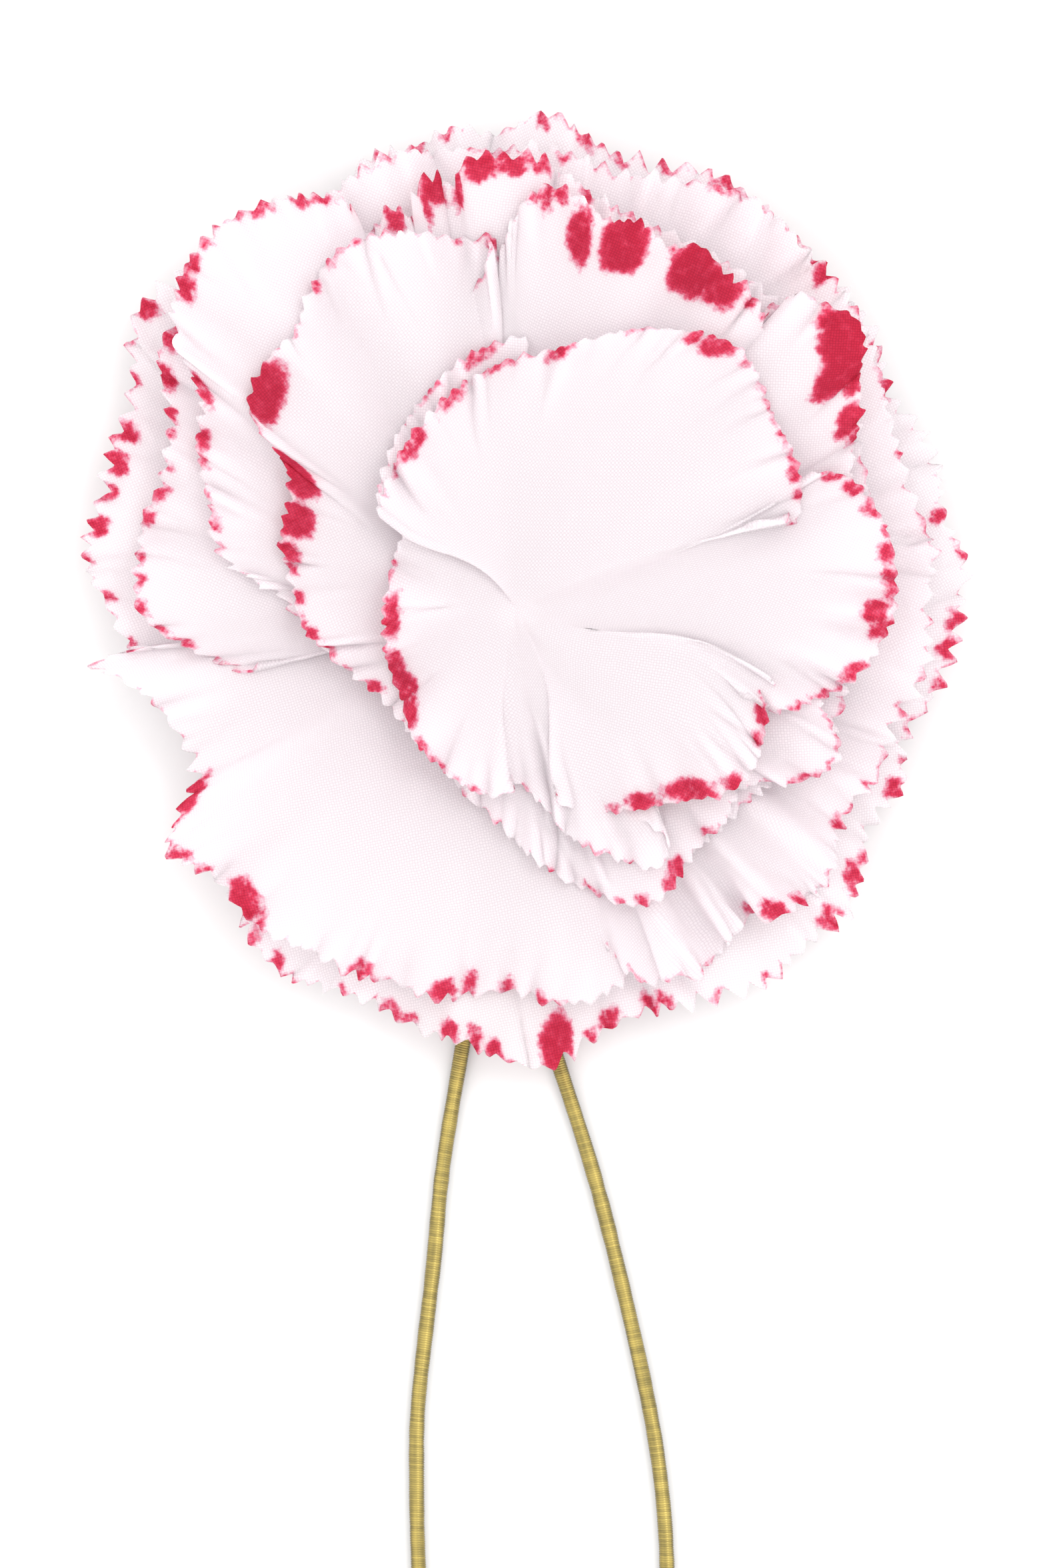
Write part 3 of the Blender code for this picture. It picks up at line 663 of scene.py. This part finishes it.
def disc_object(spec, below, cloth):
    """One disc of cloth, laid over the discs below it, and its vertices and faces in mm."""
    points, dye, along, length = disc_points(spec)
    if below is not None:
        points = lifted(points, below, LAYER_GAP)
    steps = rings_of_steps()
    vertices, tones, first = [], [], []
    for j, step in enumerate(steps):
        first.append(len(vertices))
        vertices.extend(points[::step, j])
        tones.extend(dye[::step, j])

    turn = np.cumsum(length / AROUND / np.maximum(along[:, -1], 5))
    turn = np.concatenate([[0], turn]) + math.radians(spec["grain"])

    def uv(i, j):
        r = along[i % AROUND, j]
        return r * math.cos(turn[i]), r * math.sin(turn[i])

    def index(i, j):
        return first[j] + (i % AROUND) // steps[j]

    faces, corners = [], []

    def face(*ends):
        faces.append([index(i, j) for i, j in ends])
        corners.extend(uv(i, j) for i, j in ends)

    for j in range(len(steps) - 1):
        wide, fine = steps[j], steps[j + 1]
        for i in range(0, AROUND, wide):
            if wide == fine:
                face((i, j), (i, j + 1), (i + wide, j + 1), (i + wide, j))
            else:
                middle = i + fine
                face((i, j), (i, j + 1), (middle, j + 1))
                face((i, j), (middle, j + 1), (i + wide, j))
                face((middle, j + 1), (i + wide, j + 1), (i + wide, j))

    if start_of(spec) < HOLE_RADIUS:
        middle = len(vertices)
        vertices.append(points[:, 0].mean(axis=0))
        tones.append(0.0)
        for i in range(0, AROUND, steps[0]):
            faces.append([middle, index(i, 0), index(i + steps[0], 0)])
            corners.extend([(0.0, 0.0), uv(i, 0), uv(i + steps[0], 0)])

    mesh = bpy.data.meshes.new(spec["name"] + "_cloth")
    mesh.from_pydata([tuple(v * MM) for v in vertices], [], faces)
    layer = mesh.uv_layers.new(name="cut")
    layer.data.foreach_set("uv", np.array(corners, np.float32).ravel())
    attribute = mesh.attributes.new("dye", "FLOAT", "POINT")
    attribute.data.foreach_set("value", np.array(tones, np.float32))
    mesh.materials.append(cloth)
    for polygon in mesh.polygons:
        polygon.use_smooth = True
    made = bpy.data.objects.new(spec["name"] + "_cloth", mesh)
    bpy.context.scene.collection.objects.link(made)
    thick = made.modifiers.new("thickness", "SOLIDIFY")
    thick.thickness = CLOTH * MM
    thick.offset = 0.0
    area = sum(polygon.area for polygon in mesh.polygons)
    print(spec["name"], "edge %.0f mm" % length, "area %.0f mm2" % (area * 1e6),
          "flat", round(math.pi * (spec["flat"] / 2) ** 2))
    return made, vertices, faces


def leg_object(side, thread):
    """The thread wound on one leg: a ribbed tube round the wire, closed at both ends."""
    rng = np.random.default_rng(7 if side == "left" else 8)
    points = np.array(LEGS[side])
    fine = []
    padded = np.vstack([2 * points[0] - points[1], points, 2 * points[-1] - points[-2]])
    for k in range(1, len(padded) - 2):
        p0, p1, p2, p3 = padded[k - 1:k + 3]
        t = np.linspace(0, 1, 60, endpoint=False)[:, None]
        fine.append(0.5 * (2 * p1 + (p2 - p0) * t + (2 * p0 - 5 * p1 + 4 * p2 - p3) * t ** 2
                           + (3 * p1 - p0 - 3 * p2 + p3) * t ** 3))
    fine = np.vstack(fine + [points[-1:]])
    length = np.concatenate([[0], np.cumsum(np.linalg.norm(np.diff(fine, axis=0), axis=1))])
    per_turn, sides = 4, 14
    count = int(length[-1] / TURN_PITCH * per_turn)
    at = np.linspace(0, length[-1], count)
    path = np.column_stack([np.interp(at, length, c) for c in fine.T])
    ahead = np.gradient(path, axis=0)
    ahead /= np.linalg.norm(ahead, axis=1, keepdims=True)
    beside = np.cross(ahead, (0, 0, 1))
    beside /= np.linalg.norm(beside, axis=1, keepdims=True)
    up = np.cross(beside, ahead)
    turns = at / TURN_PITCH
    theta = np.linspace(0, math.tau, sides, endpoint=False)
    phase = turns[:, None] - theta[None, :] / math.tau
    lumps = np.interp(at, np.linspace(0, length[-1], 90), rng.uniform(-0.025, 0.035, 90))
    radius = THREAD_BED + lumps[:, None] + THREAD_RISE * np.abs(np.sin(math.pi * phase))
    radius = np.minimum(radius, THREAD_LIMIT)
    skin = path[:, None] + radius[..., None] * (np.cos(theta)[None, :, None] * beside[:, None]
                                               + np.sin(theta)[None, :, None] * up[:, None])
    winding = np.floor(phase).astype(int) + 5
    strand = rng.uniform(0, 1, winding.max() + 10)
    broad = np.interp(at, np.linspace(0, length[-1], 34), rng.uniform(0, 1, 34))
    sway = np.interp(at, np.linspace(0, length[-1], 26), rng.uniform(-1, 1, 26))
    # Painted highlight: lighter streaks that wander along the thread, added to its own random tone
    # per turn and along the leg.
    painted_highlight_streak = np.cos(4 * (theta[None, :] - math.pi / 2) + 2.2 * sway[:, None])
    tone_with_painted_shade_and_highlight = 0.46 + 0.18 * strand[winding] + 0.06 * broad[:, None] + 0.11 * painted_highlight_streak
    # Painted shade: each turn is coloured darker towards the groove between it and the next.
    tone_with_painted_shade_and_highlight = tone_with_painted_shade_and_highlight * (0.72 + 0.28 * np.abs(np.sin(math.pi * phase)) ** 0.7)
    # Painted shade: the thread is coloured darker on its sides and underside, as if lit from above.
    tone_with_painted_shade_and_highlight = tone_with_painted_shade_and_highlight * (0.5 + 0.5 * np.clip(0.2 + np.sin(theta), 0, 1))[None, :]
    faces = []
    for k in range(count - 1):
        for i in range(sides):
            n = (i + 1) % sides
            faces.append((k * sides + i, (k + 1) * sides + i, (k + 1) * sides + n, k * sides + n))
    vertices = list(skin.reshape(-1, 3))
    tones = list(tone_with_painted_shade_and_highlight.ravel())
    for end in (0, count - 1):
        inner = path[end] + CORE_RADIUS * (np.cos(theta)[:, None] * beside[end]
                                           + np.sin(theta)[:, None] * up[end])
        start = len(vertices)
        vertices.extend(inner)
        tones.extend([0.3] * sides)
        for i in range(sides):
            n = (i + 1) % sides
            loop = (end * sides + i, end * sides + n, start + n, start + i)
            faces.append(loop if end == 0 else loop[::-1])
    mesh = bpy.data.meshes.new("stem_thread_" + side)
    mesh.from_pydata([tuple(v * MM) for v in vertices], [], faces)
    # The stored values hold the thread's own colour variation together with its painted shade and
    # painted highlight.
    attribute = mesh.attributes.new("tone_with_painted_shade_and_highlight", "FLOAT", "POINT")
    attribute.data.foreach_set("value", np.array(tones, np.float32))
    mesh.materials.append(thread)
    for polygon in mesh.polygons:
        polygon.use_smooth = True
    made = bpy.data.objects.new("stem_thread_" + side, mesh)
    bpy.context.scene.collection.objects.link(made)
    return made


# ---------------------------------------------------------------- the flower

def build_flower():
    cloth = cloth_material("petal_cloth")
    below = None
    vertices, faces = [], []
    for spec in DISCS:
        made, points, polygons = disc_object(spec, below, cloth)
        start = len(vertices)
        vertices.extend(tuple(p) for p in points)
        faces.extend([v + start for v in polygon] for polygon in polygons)
        below = BVHTree.FromPolygons(vertices, faces)
        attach(made, "root")
        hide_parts(spec["name"])


def build_legs():
    thread = thread_material()
    for side in LEGS:
        made = leg_object(side, thread)
        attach(made, "root")
        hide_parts("stem_wrap_" + side)


def dress_cad():
    steel = plain_material("wire_steel", (0.55, 0.55, 0.56), 0.35, 1.0)
    felt = plain_material("pad_felt", (0.86, 0.82, 0.82), 0.95)
    tack = plain_material("tack_thread", (0.88, 0.84, 0.82), 0.8)
    for name, made in (("stem_core_left", steel), ("stem_core_right", steel),
                       ("back_pad", felt), ("centre_tack", tack)):
        bpy.data.objects[name].data.materials.clear()
        bpy.data.objects[name].data.materials.append(made)


# ---------------------------------------------------------------- the studio

def build_studio():
    bpy.ops.mesh.primitive_plane_add(size=3.0, location=(0, 0, 0))
    floor = bpy.context.object
    floor.name = "floor"
    floor.data.materials.append(plain_material("floor_white", (0.60, 0.60, 0.60), 0.9))

    world = bpy.data.worlds.new("studio")
    bpy.context.scene.world = world
    world.use_nodes = True
    back = world.node_tree.nodes["Background"]
    back.inputs["Color"].default_value = (1.0, 0.99, 0.985, 1)
    back.inputs["Strength"].default_value = 2.03

    lights = (("key", (0.40, 0.35, 0.85), 0.5, 2.3), ("fill", (-0.6, -0.3, 0.8), 1.0, 0.9))
    for name, place, size, power in lights:
        light = bpy.data.lights.new(name, "AREA")
        light.shape = "DISK"
        light.size = size
        light.energy = power
        lamp = bpy.data.objects.new(name, light)
        lamp.location = place
        towards = Vector((0, -0.01, 0)) - Vector(place)
        lamp.rotation_euler = towards.to_track_quat("-Z", "Y").to_euler()
        bpy.context.scene.collection.objects.link(lamp)

    camera = bpy.data.cameras.new("camera")
    camera.sensor_fit = "VERTICAL"
    camera.sensor_height = 36.0
    camera.lens = LENS
    camera.clip_start = 0.01
    camera.clip_end = 10.0
    eye = bpy.data.objects.new("camera", camera)
    eye.location = (*CAMERA_AIM, CAMERA_HEIGHT)
    bpy.context.scene.collection.objects.link(eye)
    bpy.context.scene.camera = eye

    view = bpy.context.scene.view_settings
    view.view_transform = "Standard"
    view.look = "None"


build_studio()
dress_cad()
build_flower()
build_legs()
